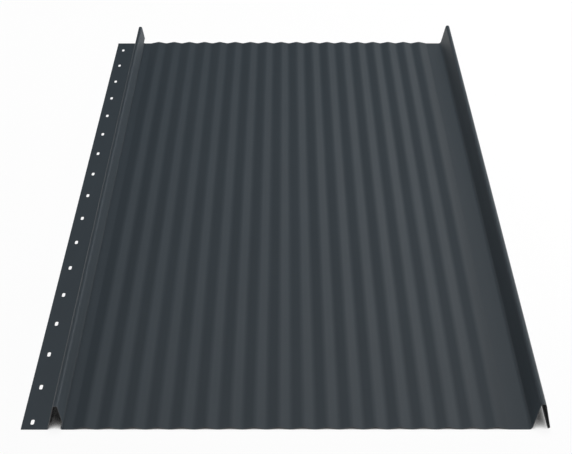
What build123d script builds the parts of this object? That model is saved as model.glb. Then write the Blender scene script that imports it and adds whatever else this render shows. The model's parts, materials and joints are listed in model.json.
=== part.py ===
from build123d import *
import os
from math import asin, atan2, cos, degrees, floor, hypot, sin

# Standing seam roof sheet, roll formed from one strip of coated steel. A finely waved pan lies between
# two seams. The left seam is the male one and carries a slotted nail flange. The right seam is the
# female one and clips over the male seam of the next sheet.
# X runs across the sheet, Y along it and Z up. The origin is on the underside, below the middle.

# Strip
thickness = 0.5
length = 1000.0
cover_width = 475.0

# Nail flange
flange_width = 26.5
slot_width = 3.5
slot_length = 9.0
slot_pitch = 60.0
slot_edge_distance = 10.0
slot_end_distance = 12.0
cut_overrun = 2.0

# Male seam, measured from the middle of its ridge
male_height = 28.0
male_leg_run = 8.9
male_ridge_width = 4.2
hook_reach = 6.1
hook_height = 9.0
hook_undercut = 2.2

# Pan, whose wave valleys lie a little above its flat margins
pan_margin = 10.6
wave_pitch = 23.75
wave_depth = 2.0
valley_rise = 0.3

# Female seam, which covers the male seam of the next sheet
female_height = 30.0
female_ridge_width = 4.5
leg_clearance = 0.1
hook_clearance = 0.25
lip_ground_gap = 1.5
lip_width = 2.6
lip_rise = 2.4
lip_engagement = 0.6

# Bends, at half the thickness
male_foot_bend = 1.5
female_foot_bend = 4.0
hook_bend = 1.2
wave_bend_share = 0.72
ridge_bend_share = 0.5
lip_bend_share = 0.42

# Places across the strip, from the free edge of the nail flange
half_thickness = thickness / 2
male_ridge = flange_width + male_leg_run
pan_start = male_ridge + hook_reach - hook_undercut - half_thickness
female_ridge = male_ridge + cover_width
female_leg_run = male_leg_run + thickness + leg_clearance
pan_end = female_ridge - female_leg_run

# Each wave has two straight flanks between its bends, which are a share of the widest that leaves any.
# The flanks beside the margins are longer
half_pitch = wave_pitch / 2
wave_bend = wave_bend_share * (half_pitch ** 2 + wave_depth ** 2) / (4 * wave_depth)
flank_offset = 2 * wave_bend - wave_depth
flank_angle = asin(2 * wave_bend / hypot(half_pitch, flank_offset)) - atan2(flank_offset, half_pitch)
flank = (half_pitch - 2 * wave_bend * sin(flank_angle)) / cos(flank_angle)
end_flank = flank + valley_rise / sin(flank_angle)
flank_turn = degrees(flank_angle)

# As many waves as fit between the margins: what is left over stays flat beside the female seam
wave_room = pan_end - pan_start - 2 * pan_margin - 2 * (end_flank - flank) * cos(flank_angle)
wave_count = floor(wave_room / wave_pitch)

# Corners of the male seam
male_top = male_height - half_thickness
male_ridge_bend = male_ridge_width * ridge_bend_share
male_corners = [
    (0, half_thickness),
    (flange_width, half_thickness),
    (male_ridge - male_ridge_width / 2, male_top),
    (male_ridge + male_ridge_width / 2, male_top),
    (male_ridge + hook_reach - half_thickness, hook_height),
    (pan_start, half_thickness),
    (pan_start + pan_margin, half_thickness),
]
male_bends = [male_foot_bend, male_ridge_bend, male_ridge_bend, hook_bend, male_foot_bend]

# Corners of the female seam: its outer leg clears the hook of the next sheet, and its lip catches below
female_top = female_height - half_thickness
female_ridge_bend = female_ridge_width * ridge_bend_share
outer_leg_top = female_ridge_width / 2
outer_leg_pass = hook_reach + hook_clearance + half_thickness
outer_leg_slope = (outer_leg_pass - outer_leg_top) / (female_top - hook_height)
lip_bottom = lip_ground_gap + half_thickness
lip_outside = outer_leg_pass + outer_leg_slope * (hook_height - lip_bottom)
lip_bend = lip_width * lip_bend_share
female_corners = [
    (pan_end, half_thickness),
    (female_ridge - outer_leg_top, female_top),
    (female_ridge + outer_leg_top, female_top),
    (female_ridge + lip_outside, lip_bottom),
    (female_ridge + lip_outside - lip_width, lip_bottom),
    (female_ridge + hook_reach - lip_engagement, lip_bottom + lip_rise),
]
female_bends = [female_foot_bend, female_ridge_bend, female_ridge_bend, lip_bend, lip_bend]

# Middle line of the strip
with BuildLine() as strip_line:
    run = FilletPolyline(*male_corners, radius=male_bends)
    run = JernArc(start=run @ 1, tangent=(1, 0), radius=wave_bend, arc_size=flank_turn)
    for wave in range(wave_count):
        last = wave == wave_count - 1
        rising = end_flank if wave == 0 else flank
        falling = end_flank if last else flank
        valley_turn = flank_turn if last else 2 * flank_turn
        run = Line(run @ 1, run @ 1 + (run % 1) * rising)
        run = JernArc(start=run @ 1, tangent=run % 1, radius=wave_bend, arc_size=-2 * flank_turn)
        run = Line(run @ 1, run @ 1 + (run % 1) * falling)
        run = JernArc(start=run @ 1, tangent=run % 1, radius=wave_bend, arc_size=valley_turn)
    FilletPolyline(run @ 1, *female_corners, radius=female_bends)

# The sheet is centred on its full width, from the flange edge to the outside of the female leg
total_width = strip_line.line.bounding_box().max.X + half_thickness
section_plane = Plane(origin=(-total_width / 2, 0, 0), x_dir=(1, 0, 0), z_dir=(0, -1, 0))

# Slots along the nail flange
slot_count = floor((length - 2 * slot_end_distance) / slot_pitch) + 1
slot_row_middle = slot_end_distance - length / 2 + slot_pitch * (slot_count - 1) / 2
slot_plane = Plane(origin=(slot_edge_distance - total_width / 2, slot_row_middle, thickness))

with BuildPart() as roof_sheet:
    with BuildSketch(section_plane):
        trace(strip_line.line, line_width=thickness)
    extrude(amount=length / 2, both=True)
    with BuildSketch(slot_plane):
        with GridLocations(slot_pitch, slot_pitch, 1, slot_count):
            SlotOverall(slot_length, slot_width, rotation=90)
    extrude(amount=cut_overrun, both=True, mode=Mode.SUBTRACT)

os.makedirs("parts", exist_ok=True)
roof_sheet.part.label = "roof_sheet"
export_step(roof_sheet.part, "parts/roof_sheet.step")

print("waves", wave_count, "slots", slot_count)
strip_width = sum(edge.length for edge in strip_line.edges())
print("total width", round(total_width, 2), "strip width", round(strip_width, 2))
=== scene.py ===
"""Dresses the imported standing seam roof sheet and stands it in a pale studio.

The sheet is rolled from one coated strip: a slotted nail flange, a male seam, a waved pan and a
female seam. Its section is drawn along the middle of the strip as straight runs and bends, rolled
out along the length, punched, and given the thickness of the strip.
"""

import json
import logging
from dataclasses import dataclass, field
from enum import IntEnum
from math import asin, atan2, ceil, cos, floor, hypot, pi, radians, sin, tan

import bmesh
import bpy
from mathutils import Matrix, Vector


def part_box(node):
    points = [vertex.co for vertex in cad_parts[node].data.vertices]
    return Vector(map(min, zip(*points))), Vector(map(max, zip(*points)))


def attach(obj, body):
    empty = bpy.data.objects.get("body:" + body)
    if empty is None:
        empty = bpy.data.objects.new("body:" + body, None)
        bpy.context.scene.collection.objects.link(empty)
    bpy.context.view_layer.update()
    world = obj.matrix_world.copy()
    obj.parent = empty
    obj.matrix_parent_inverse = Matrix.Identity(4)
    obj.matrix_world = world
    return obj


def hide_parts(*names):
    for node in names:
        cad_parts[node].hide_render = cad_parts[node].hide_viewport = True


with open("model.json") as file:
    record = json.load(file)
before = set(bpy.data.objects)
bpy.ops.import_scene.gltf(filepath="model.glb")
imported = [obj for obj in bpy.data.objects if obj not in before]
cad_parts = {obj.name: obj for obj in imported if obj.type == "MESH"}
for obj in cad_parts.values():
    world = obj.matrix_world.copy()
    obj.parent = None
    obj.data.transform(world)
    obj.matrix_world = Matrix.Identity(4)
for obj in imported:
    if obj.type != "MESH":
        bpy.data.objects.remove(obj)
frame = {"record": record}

MM = 0.001
NODE = "roof_sheet"

log = logging.getLogger("roof_sheet")


class Side(IntEnum):
    """The sides of the strip, in the order of the sheet's material slots."""

    TOP = 0
    BACK = 1
    CUT = 2


class NodeBoard:
    """Adds and joins the nodes of one material or world."""

    def __init__(self, owner: bpy.types.ID) -> None:
        """Clears the owner's nodes.

        Args:
            owner: A material or a world.
        """
        owner.use_nodes = True
        self.tree = owner.node_tree
        self.tree.nodes.clear()

    def add(self, kind: str, **sockets: object) -> bpy.types.Node:
        """Adds a node and sets its inputs.

        Args:
            kind: The node's type name, without its leading ShaderNode.
            **sockets: Input names with underscores for spaces, each with a value or the output socket
                to join to it.

        Returns:
            The new node.
        """
        node = self.tree.nodes.new("ShaderNode" + kind)
        for name, value in sockets.items():
            self.put(node.inputs[name.replace("_", " ")], value)
        return node

    def put(self, socket: bpy.types.NodeSocket, value: object) -> None:
        """Sets one input socket.

        Args:
            socket: The input.
            value: A plain value, or the output socket to join to it.
        """
        if isinstance(value, bpy.types.NodeSocket):
            self.tree.links.new(value, socket)
        else:
            socket.default_value = value

    def math(self, operation: str, *values: object) -> bpy.types.NodeSocket:
        """Adds a Math node.

        Args:
            operation: The Math node's operation.
            *values: Its inputs in order, each a number or an output socket.

        Returns:
            The node's output socket.
        """
        node = self.tree.nodes.new("ShaderNodeMath")
        node.operation = operation
        for socket, value in zip(node.inputs, values):
            self.put(socket, value)
        return node.outputs[0]

    def seen(self) -> bpy.types.NodeSocket:
        """Tells what the camera sees, also in gloss or through glass.

        Returns:
            An output socket that gives 1 for it and 0 for the rest.
        """
        path = self.add("LightPath")
        plain = self.math("MAXIMUM", path.outputs["Is Camera Ray"], path.outputs["Is Glossy Ray"])
        return self.math("MAXIMUM", plain, path.outputs["Is Transmission Ray"])


@dataclass(frozen=True)
class CoilCoat:
    """A matt coil coating, with a fine grain, faint lengthways roller streaks and cloudy patches.

    Attributes:
        name: The material's name.
        colour: Its mean colour, linear.
        roughness: Its mean roughness.
        specular: Its specular level.
        gloss_share: The change of roughness by streaks.
        grain_scale: Grains per metre.
        grain_height: The height of the grain, in metres.
        grain_detail: The octaves of the grain.
        grain_fall: How much of each octave of the grain the next one keeps.
        streak_scale: Streaks per metre across the sheet.
        streak_stretch: The share of that which remains along the sheet.
        streak_share: The change of colour by streaks.
        cloud_scale: Clouds per metre.
        cloud_share: The change of colour by clouds.
        cloud_detail: The octaves of the clouds and streaks.
        cloud_fall: How much of each octave of the clouds the next one keeps.
    """

    name: str
    colour: tuple[float, float, float]
    roughness: float = 0.6
    specular: float = 0.3
    gloss_share: float = 0.10
    grain_scale: float = 1100.0
    grain_height: float = 0.00002
    grain_detail: float = 2.0
    grain_fall: float = 0.6
    streak_scale: float = 140.0
    streak_stretch: float = 0.02
    streak_share: float = 0.10
    cloud_scale: float = 9.0
    cloud_share: float = 0.10
    cloud_detail: float = 3.0
    cloud_fall: float = 0.55

    def make(self) -> bpy.types.Material:
        """Makes the material.

        Returns:
            The new material.
        """
        material = bpy.data.materials.new(self.name)
        board = NodeBoard(material)
        place = board.add("TexCoord").outputs["Object"]
        grain = board.add(
            "TexNoise",
            Vector=place,
            Scale=self.grain_scale,
            Detail=self.grain_detail,
            Roughness=self.grain_fall,
        )
        cloud = board.add(
            "TexNoise",
            Vector=place,
            Scale=self.cloud_scale,
            Detail=self.cloud_detail,
            Roughness=self.cloud_fall,
        )
        drawn_out = board.add("Mapping", Vector=place, Scale=(1.0, self.streak_stretch, 1.0))
        streak = board.add(
            "TexNoise",
            Vector=drawn_out.outputs[0],
            Scale=self.streak_scale,
            Detail=self.cloud_detail,
        )
        low = 1.0 - (self.streak_share + self.cloud_share) / 2
        tone = board.math("MULTIPLY_ADD", cloud.outputs["Fac"], self.cloud_share, low)
        tone = board.math("MULTIPLY_ADD", streak.outputs["Fac"], self.streak_share, tone)
        colour = board.add("MixRGB", Fac=1.0, Color1=(*self.colour, 1.0), Color2=tone)
        colour.blend_type = "MULTIPLY"
        smooth = self.roughness - self.gloss_share / 2
        gloss = board.math("MULTIPLY_ADD", streak.outputs["Fac"], self.gloss_share, smooth)
        bump = board.add("Bump", Height=grain.outputs["Fac"], Strength=1.0, Distance=self.grain_height)
        coat = board.add(
            "BsdfPrincipled",
            Base_Color=colour.outputs[0],
            Roughness=gloss,
            Specular_IOR_Level=self.specular,
            Normal=bump.outputs[0],
        )
        board.add("OutputMaterial", Surface=coat.outputs[0])
        return material


@dataclass(frozen=True)
class CutSteel:
    """The bare cut edge of the strip, dull zinc and steel with shear marks across its thickness.

    Attributes:
        name: The material's name.
        dark: The colour of the sheared steel, linear.
        light: The colour of the smeared zinc, linear.
        roughness: Its roughness.
        metal: The share of bare metal in it.
        mark_scale: Shear marks per metre along the edge.
        mark_detail: The octaves of the marks.
        mark_height: The height of the marks, in metres.
        mark_strength: How strongly the marks show.
    """

    name: str
    dark: tuple[float, float, float]
    light: tuple[float, float, float]
    roughness: float = 0.45
    metal: float = 0.8
    mark_scale: float = 900.0
    mark_detail: float = 2.0
    mark_height: float = 0.0001
    mark_strength: float = 0.5

    def make(self) -> bpy.types.Material:
        """Makes the material.

        Returns:
            The new material.
        """
        material = bpy.data.materials.new(self.name)
        board = NodeBoard(material)
        place = board.add("TexCoord").outputs["Object"]
        marks = board.add("TexNoise", Vector=place, Scale=self.mark_scale, Detail=self.mark_detail)
        colour = board.add(
            "MixRGB", Fac=marks.outputs["Fac"], Color1=(*self.dark, 1.0), Color2=(*self.light, 1.0)
        )
        bump = board.add(
            "Bump", Height=marks.outputs["Fac"], Strength=self.mark_strength, Distance=self.mark_height
        )
        steel = board.add(
            "BsdfPrincipled",
            Base_Color=colour.outputs[0],
            Roughness=self.roughness,
            Metallic=self.metal,
            Normal=bump.outputs[0],
        )
        board.add("OutputMaterial", Surface=steel.outputs[0])
        return material


FINISHES = {
    Side.TOP: CoilCoat("top_coat", (0.0240, 0.0345, 0.0437)),
    Side.BACK: CoilCoat("back_coat", (0.0290, 0.0320, 0.0350), roughness=0.65),
    Side.CUT: CutSteel("cut_edge", (0.05, 0.05, 0.05), (0.13, 0.135, 0.14)),
}


class LinePen:
    """Draws a line of straight runs and round bends in a mesh, with a vertex at its tip."""

    def __init__(self, mesh: bmesh.types.BMesh, start: Vector, axis: Vector, heading: Vector) -> None:
        """Sets the pen down.

        Args:
            mesh: The mesh that gets the line.
            start: The place of its first vertex.
            axis: The normal of the plane that it lies in. A positive angle turns left about it.
            heading: The direction in which it sets out.
        """
        self.mesh = mesh
        self.axis = axis
        self.heading = heading
        self.tip = bmesh.ops.create_vert(mesh, co=start)["vert"][0]
        self.edges: list[bmesh.types.BMEdge] = []

    def run_to(self, place: Vector) -> None:
        """Draws a straight run.

        Args:
            place: Where it ends.
        """
        drawn = bmesh.ops.extrude_vert_indiv(self.mesh, verts=[self.tip])
        self.heading = (place - self.tip.co).normalized()
        self.tip = drawn["verts"][0]
        self.tip.co = place
        self.edges += drawn["edges"]

    def run_on(self, distance: float) -> None:
        """Draws a straight run of the given length along the heading."""
        self.run_to(self.tip.co + self.heading * distance)

    def turn(self, radius: float, angle: float, steps: int) -> None:
        """Draws a round bend that starts along the heading.

        Args:
            radius: Its radius.
            angle: How far it turns, positive to the left.
            steps: The edges in it.
        """
        left = self.axis.cross(self.heading)
        centre = self.tip.co + left * (radius if angle > 0 else -radius)
        old = set(self.mesh.edges)
        drawn = bmesh.ops.spin(
            self.mesh, geom=[self.tip], cent=centre, axis=self.axis, angle=angle, steps=steps
        )
        self.edges += [edge for edge in self.mesh.edges if edge not in old]
        self.tip = drawn["geom_last"][0]
        self.heading = Matrix.Rotation(angle, 3, self.axis) @ self.heading

    def corner(self, place: Vector, after: Vector, radius: float, step: float) -> None:
        """Draws a run towards a corner and a bend in place of it.

        Args:
            place: The corner.
            after: The next corner.
            radius: The bend's radius.
            step: The largest turn of one edge of the bend.
        """
        ahead = (place - self.tip.co).normalized()
        beyond = (after - place).normalized()
        angle = atan2(ahead.cross(beyond).dot(self.axis), ahead.dot(beyond))
        self.run_to(place - ahead * radius * tan(abs(angle) / 2))
        self.turn(radius, angle, ceil(abs(angle) / step))


@dataclass
class RoofSheet:
    """The roof sheet, in millimetres across its section.

    Attributes:
        thickness: The strip's thickness.
        cover_width: From the male ridge to the female ridge.
        flange_width: The nail flange, from its free edge to the male seam's foot.
        male_height: The male seam's height.
        male_leg_run: How far the male seam's outer leg leans in from its foot to the ridge.
        male_ridge_width: The width of the male ridge.
        hook_reach: From the male ridge to the outside of the hook.
        hook_height: The height of the hook's corner.
        hook_undercut: How far the hook draws back to its foot.
        pan_margin: The flat strip between a seam and the waves.
        wave_pitch: From one wave to the next.
        wave_depth: From a wave's crest to the valley beside it.
        valley_rise: How far the valleys lie above the flat strips.
        female_height: The female seam's height.
        female_ridge_width: The width of the female ridge.
        leg_clearance: Between the inner leg and the male seam under it.
        hook_clearance: Between the outer leg and the hook under it.
        lip_ground_gap: Below the lip.
        lip_width: The flat bottom of the lip.
        lip_rise: How far the lip's free edge turns up.
        lip_engagement: How far the lip catches under the hook.
        male_foot_bend: The radius of the bends at the male seam's feet.
        female_foot_bend: The radius of the bend at the female seam's foot.
        hook_bend: The radius of the hook's bend.
        wave_bend_share: The waves' bend, as a share of the one that leaves no straight flank.
        ridge_bend_share: The bends of a ridge, as a share of its width.
        lip_bend_share: The bends of the lip, as a share of its width.
        bend_step: The largest turn of one edge in a bend, in radians.
        wave_step: The largest turn of one edge in a wave, in radians.
        slot_steps: The edges in a slot's round end.
        sharp_angle: The angle from which an edge is shaded sharp, in radians.
        slots: The middles of the slots.
        slot_radius: The radius of a slot's round ends.
        slot_run: From one end's middle to the other's.
    """

    thickness: float = 0.5
    cover_width: float = 475.0
    flange_width: float = 26.5
    male_height: float = 28.0
    male_leg_run: float = 8.9
    male_ridge_width: float = 4.2
    hook_reach: float = 6.1
    hook_height: float = 9.0
    hook_undercut: float = 2.2
    pan_margin: float = 10.6
    wave_pitch: float = 23.75
    wave_depth: float = 2.0
    valley_rise: float = 0.3
    female_height: float = 30.0
    female_ridge_width: float = 4.5
    leg_clearance: float = 0.1
    hook_clearance: float = 0.25
    lip_ground_gap: float = 1.5
    lip_width: float = 2.6
    lip_rise: float = 2.4
    lip_engagement: float = 0.6
    male_foot_bend: float = 1.5
    female_foot_bend: float = 4.0
    hook_bend: float = 1.2
    wave_bend_share: float = 0.72
    ridge_bend_share: float = 0.5
    lip_bend_share: float = 0.42
    bend_step: float = radians(9.0)
    wave_step: float = radians(2.6)
    slot_steps: int = 12
    sharp_angle: float = radians(40.0)
    slots: list[Vector] = field(init=False, default_factory=list)
    slot_radius: float = field(init=False, default=0.0)
    slot_run: float = field(init=False, default=0.0)

    def __post_init__(self) -> None:
        """Takes the box and the slots from the frame."""
        self.low, self.high = (Vector(corner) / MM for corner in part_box(NODE))
        self.half = self.thickness / 2
        self.male_ridge = self.flange_width + self.male_leg_run
        self.female_ridge = self.male_ridge + self.cover_width
        self.pan_start = self.male_ridge + self.hook_reach - self.hook_undercut - self.half
        self.pan_end = self.female_ridge - self.male_leg_run - self.thickness - self.leg_clearance
        self.read_slots()

    def read_slots(self) -> None:
        """Lists the slots' middles, at the smallest spacing that the frame's slot pairs share."""
        pairs = [m for m in frame["record"]["mounts"] if m["name"].startswith("nail_slots")]
        sizes = [m["dims"] for m in pairs]
        middle = Vector(pairs[0]["pos_m"]) / MM
        spans = [size["spacing_y_mm"] for size in sizes]
        pitch = min(spans) / 2
        count = round(max(spans) / pitch) + 1
        first = middle.y - max(spans) / 2
        self.slots = [Vector((middle.x, first + pitch * index, self.half)) for index in range(count)]
        self.slot_radius = sizes[0]["hole_r_mm"]
        self.slot_run = sizes[0]["slot_length_mm"] - 2 * self.slot_radius

    def at(self, across: float, up: float) -> Vector:
        """Returns a place on the near end, from the flange's free edge and the underside."""
        return Vector((self.low.x + across, self.low.y, self.low.z + up))

    def male_corners(self) -> list[tuple[Vector, float]]:
        """Lists the corners of the male seam.

        Returns:
            Each corner with the radius of its bend.
        """
        top = self.male_height - self.half
        beside = self.male_ridge_width / 2
        ridge_bend = self.male_ridge_width * self.ridge_bend_share
        return [
            (self.at(self.flange_width, self.half), self.male_foot_bend),
            (self.at(self.male_ridge - beside, top), ridge_bend),
            (self.at(self.male_ridge + beside, top), ridge_bend),
            (self.at(self.male_ridge + self.hook_reach - self.half, self.hook_height), self.hook_bend),
            (self.at(self.pan_start, self.half), self.male_foot_bend),
        ]

    def female_corners(self) -> list[tuple[Vector, float]]:
        """Lists the corners of the female seam and its lip.

        Returns:
            Each corner with the radius of its bend.
        """
        top = self.female_height - self.half
        beside = self.female_ridge_width / 2
        ridge_bend = self.female_ridge_width * self.ridge_bend_share
        clear = self.hook_reach + self.hook_clearance + self.half
        slope = (clear - beside) / (top - self.hook_height)
        lip_bottom = self.lip_ground_gap + self.half
        outside = self.female_ridge + clear + slope * (self.hook_height - lip_bottom)
        lip_bend = self.lip_width * self.lip_bend_share
        return [
            (self.at(self.pan_end, self.half), self.female_foot_bend),
            (self.at(self.female_ridge - beside, top), ridge_bend),
            (self.at(self.female_ridge + beside, top), ridge_bend),
            (self.at(outside, lip_bottom), lip_bend),
            (self.at(outside - self.lip_width, lip_bottom), lip_bend),
        ]

    def lip_end(self) -> Vector:
        """Places the free edge of the lip inside the female seam.

        Returns:
            Its place at the near end.
        """
        lip_bottom = self.lip_ground_gap + self.half
        across = self.female_ridge + self.hook_reach - self.lip_engagement
        return self.at(across, lip_bottom + self.lip_rise)

    def draw_section(self, mesh: bmesh.types.BMesh) -> list[bmesh.types.BMEdge]:
        """Draws the middle line of the strip at the near end.

        Args:
            mesh: The mesh that gets the line.

        Returns:
            The line's edges, from the nail flange to the lip.
        """
        pen = LinePen(mesh, self.at(0, self.half), Vector((0, -1, 0)), Vector((1, 0, 0)))
        self.draw_corners(pen, self.male_corners(), self.at(self.pan_start + self.pan_margin, self.half))
        self.draw_waves(pen)
        self.draw_corners(pen, self.female_corners(), self.lip_end())
        return pen.edges

    def draw_corners(self, pen: LinePen, corners: list[tuple[Vector, float]], end: Vector) -> None:
        """Draws a stretch of bent corners and the run after them.

        Args:
            pen: The pen that draws.
            corners: Each corner with the radius of its bend.
            end: Where the last run ends.
        """
        places = [place for place, _ in corners] + [end]
        for (place, radius), after in zip(corners, places[1:]):
            pen.corner(place, after, radius, self.bend_step)
        pen.run_to(end)

    def draw_waves(self, pen: LinePen) -> None:
        """Draws the waves of the pan, as many as fit between the margins.

        Args:
            pen: The pen that draws.
        """
        half_pitch = self.wave_pitch / 2
        bend = self.wave_bend_share * (half_pitch**2 + self.wave_depth**2) / (4 * self.wave_depth)
        offset = 2 * bend - self.wave_depth
        angle = asin(2 * bend / hypot(half_pitch, offset)) - atan2(offset, half_pitch)
        flank = (half_pitch - 2 * bend * sin(angle)) / cos(angle)
        end_flank = flank + self.valley_rise / sin(angle)
        room = self.pan_end - self.pan_start - 2 * self.pan_margin
        count = floor((room - 2 * (end_flank - flank) * cos(angle)) / self.wave_pitch)
        steps = ceil(angle / self.wave_step)
        pen.turn(bend, angle, steps)
        for wave in range(count):
            last = wave == count - 1
            share = 1 if last else 2
            pen.run_on(end_flank if wave == 0 else flank)
            pen.turn(bend, -2 * angle, 2 * steps)
            pen.run_on(end_flank if last else flank)
            pen.turn(bend, share * angle, share * steps)

    def roll_out(self, mesh: bmesh.types.BMesh, line: list[bmesh.types.BMEdge]) -> None:
        """Rolls the section out along the length, one row for each slot.

        Args:
            mesh: The mesh that holds the section.
            line: The section's edges.
        """
        halfway = (self.slots[1].y - self.slots[0].y) / 2
        rows = [self.low.y] + [slot.y + halfway for slot in self.slots[:-1]] + [self.high.y]
        for start, end in zip(rows, rows[1:]):
            grown = bmesh.ops.extrude_edge_only(mesh, edges=line)["geom"]
            verts = [item for item in grown if isinstance(item, bmesh.types.BMVert)]
            bmesh.ops.translate(mesh, verts=verts, vec=(0, end - start, 0))
            fresh = set(verts)
            edges = [item for item in grown if isinstance(item, bmesh.types.BMEdge)]
            line = [edge for edge in edges if fresh.issuperset(edge.verts)]

    def punch_slots(self, mesh: bmesh.types.BMesh) -> None:
        """Opens the slots in the nail flange.

        Args:
            mesh: The rolled sheet.
        """
        edge = self.low.x + self.half
        flat = [face for face in mesh.faces if min(vert.co.x for vert in face.verts) < edge]
        flat.sort(key=lambda face: face.calc_center_median().y)
        rims = [list(face.edges) for face in flat]
        bmesh.ops.delete(mesh, geom=flat, context="FACES_ONLY")
        for middle, rim in zip(self.slots, rims):
            hole = self.draw_slot(mesh, middle)
            bmesh.ops.triangle_fill(mesh, use_beauty=True, edges=rim + hole, normal=(0, 0, 1))

    def draw_slot(self, mesh: bmesh.types.BMesh, middle: Vector) -> list[bmesh.types.BMEdge]:
        """Draws the outline of one slot.

        Args:
            mesh: The mesh that gets the outline.
            middle: The slot's middle.

        Returns:
            The outline's edges.
        """
        right = Vector((self.slot_radius, 0, 0))
        ahead = Vector((0, self.slot_run / 2, 0))
        pen = LinePen(mesh, middle + right - ahead, Vector((0, 0, 1)), Vector((0, 1, 0)))
        first = pen.tip
        pen.run_to(middle + right + ahead)
        pen.turn(self.slot_radius, pi, self.slot_steps)
        pen.run_to(middle - right - ahead)
        pen.turn(self.slot_radius, pi, self.slot_steps)
        bmesh.ops.pointmerge(mesh, verts=[first, pen.tip], merge_co=first.co)
        verts = {vert for edge in pen.edges if edge.is_valid for vert in edge.verts}
        return list({edge for vert in verts for edge in vert.link_edges})

    def build(self) -> bpy.types.Object:
        """Builds the sheet.

        Returns:
            The finished piece.
        """
        mesh = bmesh.new()
        line = self.draw_section(mesh)
        self.roll_out(mesh, line)
        self.punch_slots(mesh)
        bmesh.ops.recalc_face_normals(mesh, faces=mesh.faces[:])
        flange = min(mesh.faces, key=lambda face: face.calc_center_median().x)
        if flange.normal.z < 0:
            bmesh.ops.reverse_faces(mesh, faces=mesh.faces[:])
        bmesh.ops.scale(mesh, vec=(MM, MM, MM), verts=mesh.verts[:])
        for face in mesh.faces:
            face.smooth = True
        data = bpy.data.meshes.new("waved_sheet")
        mesh.to_mesh(data)
        mesh.free()
        piece = bpy.data.objects.new("waved_sheet", data)
        bpy.context.scene.collection.objects.link(piece)
        return piece

    def dress(self, piece: bpy.types.Object, finishes: dict[Side, bpy.types.Material]) -> None:
        """Gives the piece its thickness and its finishes.

        Args:
            piece: The sheet, still without thickness.
            finishes: The material of each side of the strip.
        """
        for side in Side:
            piece.data.materials.append(finishes[side])
        wall = piece.modifiers.new("thickness", "SOLIDIFY")
        wall.thickness = self.thickness * MM
        wall.offset = 0.0
        wall.use_even_offset = True
        wall.material_offset = Side.BACK
        wall.material_offset_rim = Side.CUT
        self.settle(piece)
        piece.data.set_sharp_from_angle(angle=self.sharp_angle)
        shade = piece.modifiers.new("flat_runs", "WEIGHTED_NORMAL")
        shade.mode = "FACE_AREA"
        shade.keep_sharp = True
        self.settle(piece)

    def settle(self, piece: bpy.types.Object) -> None:
        """Makes the result of the piece's modifiers its mesh.

        Args:
            piece: The sheet with its modifiers.
        """
        graph = bpy.context.evaluated_depsgraph_get()
        settled = bpy.data.meshes.new_from_object(piece.evaluated_get(graph))
        piece.modifiers.clear()
        former = piece.data
        piece.data = settled
        bpy.data.meshes.remove(former)
        settled.name = piece.name


@dataclass(frozen=True)
class SoftBox:
    """A square soft box that faces the middle of the sheet.

    Attributes:
        name: The lamp's name.
        turn: Where it hangs about the sheet, in degrees from the far end towards the female seam.
        rise: How high it hangs, in degrees above the floor.
        power: Its power, in watts.
        shadow: Whether things cast a shadow in its light.
        size: Its side, in metres.
        reach: Its distance from the middle of the sheet, in metres.
    """

    name: str
    turn: float
    rise: float
    power: float
    shadow: bool = True
    size: float = 1.3
    reach: float = 2.8

    def hang(self) -> None:
        """Hangs the lamp."""
        lamp = bpy.data.lights.new(self.name, "AREA")
        lamp.shape = "SQUARE"
        lamp.size = self.size
        lamp.energy = self.power
        lamp.use_shadow = self.shadow
        turn, rise = radians(self.turn), radians(self.rise)
        way = Vector((sin(turn) * cos(rise), cos(turn) * cos(rise), sin(rise)))
        box = bpy.data.objects.new(self.name, lamp)
        box.location = way * self.reach
        box.rotation_euler = way.to_track_quat("Z", "Y").to_euler()
        bpy.context.scene.collection.objects.link(box)


LAMPS = (
    SoftBox("overhead", 0.0, 85.0, 50.0),
    SoftBox("right_fill", 80.0, 10.0, 25.0, shadow=False, reach=1.5),
    SoftBox("left_fill", -60.0, 18.0, 18.0, shadow=False),
    SoftBox("back_fill", 30.0, 28.0, 14.6, shadow=False),
)


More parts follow.
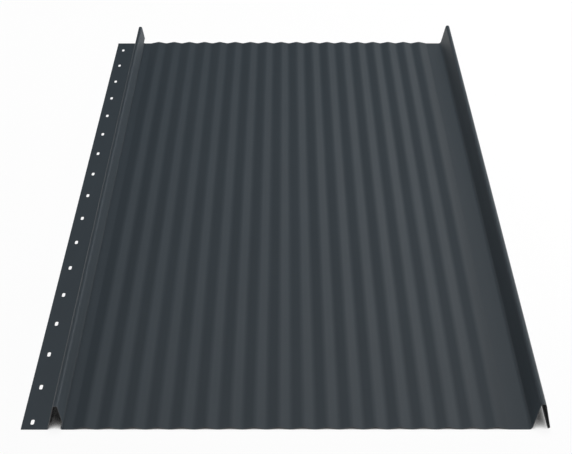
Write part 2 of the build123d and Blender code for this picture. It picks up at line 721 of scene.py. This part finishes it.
@dataclass
class Studio:
    """A pale floor, soft boxes round the sheet, and the camera.

    Attributes:
        lamps: The soft boxes.
        floor_size: The floor's side, in metres.
        floor_steps: The faces along its side.
        floor_gap: The gap between it and the sheet, in metres.
        floor_colour: Its colour, linear.
        floor_glow: The share of plain white that the camera sees in it.
        painted_shade_reach: How far off a thing casts painted shade on the floor, in metres.
        painted_shade_full: The open share of the sky above it at which its painted shade is full.
        painted_shade_none: The open share of the sky above it from which it has no painted shade.
        sky_low: The height up to which the surroundings are white, in degrees.
        sky_high: The height from which they are dark, in degrees.
        lens: The camera's focal length, in millimetres.
        sensor: The width of its sensor, in millimetres.
        near_limit: How near it sees, in metres.
        eye: The camera's place, in metres.
        pitch: How far the camera looks down, in degrees.
        yaw: How far the camera looks to the left, in degrees.
    """

    lamps: tuple[SoftBox, ...] = LAMPS
    floor_size: float = 12.0
    floor_steps: int = 4
    floor_gap: float = 0.0002
    floor_colour: float = 0.95
    floor_glow: float = 0.9
    # Painted shade on the floor near and under the sheet, standing in for its shadow
    painted_shade_reach: float = 0.03
    painted_shade_full: float = 0.15
    painted_shade_none: float = 0.5
    sky_low: float = 3.0
    sky_high: float = 9.0
    lens: float = 95.54
    sensor: float = 36.0
    near_limit: float = 0.01
    eye: tuple[float, float, float] = (-0.0001, -1.7055, 0.8930)
    pitch: float = 28.93
    yaw: float = -0.037

    def build(self) -> None:
        """Sets up the floor, the surroundings, the lamps and the camera."""
        self.lay_floor()
        self.light_world()
        for lamp in self.lamps:
            lamp.hang()
        self.set_camera()

    def lay_floor(self) -> None:
        """Lays the white floor, with some real shadow and painted shade near the sheet."""
        mesh = bmesh.new()
        steps = self.floor_steps
        bmesh.ops.create_grid(mesh, x_segments=steps, y_segments=steps, size=self.floor_size / 2)
        data = bpy.data.meshes.new("floor")
        mesh.to_mesh(data)
        mesh.free()
        floor_piece = bpy.data.objects.new("floor", data)
        floor_piece.location.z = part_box(NODE)[0][2] - self.floor_gap
        bpy.context.scene.collection.objects.link(floor_piece)
        material = bpy.data.materials.new("pale_floor")
        board = NodeBoard(material)
        # Painted shade: the floor darkens where the sheet closes off the sky above it, near and under
        # the sheet
        painted_shade = board.add("AmbientOcclusion", Distance=self.painted_shade_reach).outputs["AO"]
        painted_shade = board.add(
            "MapRange", Value=painted_shade, From_Min=self.painted_shade_full, From_Max=self.painted_shade_none
        ).outputs[0]
        # The floor's colour, darkened by the painted shade
        paint = board.add("BsdfDiffuse", Color=board.math("MULTIPLY", painted_shade, self.floor_colour))
        # Its white glow, darkened by the painted shade into a painted shadow of the sheet
        white = board.add("Emission", Color=(1.0, 1.0, 1.0, 1.0), Strength=painted_shade)
        share = board.math("MULTIPLY", board.seen(), self.floor_glow)
        both = board.add("MixShader", Fac=share)
        board.put(both.inputs[1], paint.outputs[0])
        board.put(both.inputs[2], white.outputs[0])
        board.add("OutputMaterial", Surface=both.outputs[0])
        data.materials.append(material)

    def light_world(self) -> None:
        """Makes the surroundings white up to a little above the floor, and dark overhead."""
        world = bpy.data.worlds.new("studio")
        bpy.context.scene.world = world
        board = NodeBoard(world)
        way = board.add("TexCoord").outputs["Generated"]
        height = board.add("SeparateXYZ", Vector=way).outputs["Z"]
        low, high = sin(radians(self.sky_low)), sin(radians(self.sky_high))
        fade = board.add("MapRange", Value=height, From_Min=low, From_Max=high, To_Min=1.0, To_Max=0.0)
        sky = board.add("Background", Color=(1.0, 1.0, 1.0, 1.0), Strength=fade.outputs[0])
        board.add("OutputWorld", Surface=sky.outputs[0])

    def set_camera(self) -> None:
        """Sets the camera at the photograph's viewing angle."""
        lens = bpy.data.cameras.new("camera")
        lens.lens = self.lens
        lens.sensor_width = self.sensor
        lens.sensor_fit = "HORIZONTAL"
        lens.clip_start = self.near_limit
        eye = bpy.data.objects.new("camera", lens)
        eye.location = self.eye
        eye.rotation_euler = (radians(90.0 - self.pitch), 0.0, radians(self.yaw))
        bpy.context.scene.collection.objects.link(eye)
        bpy.context.scene.camera = eye


def main() -> None:
    """Builds the sheet, dresses it and sets up the studio."""
    logging.basicConfig(level=logging.INFO, format="%(name)s: %(message)s")
    bpy.context.scene.view_settings.view_transform = "Standard"
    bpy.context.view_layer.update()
    finishes = {side: finish.make() for side, finish in FINISHES.items()}
    sheet = RoofSheet()
    piece = sheet.build()
    sheet.dress(piece, finishes)
    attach(piece, "root")
    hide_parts(NODE)
    log.info("%s: %d faces, %d slots", piece.name, len(piece.data.polygons), len(sheet.slots))
    Studio().build()
    log.info("studio: floor, surroundings, %d lamps and camera", len(LAMPS))


if __name__ == "__main__":
    main()
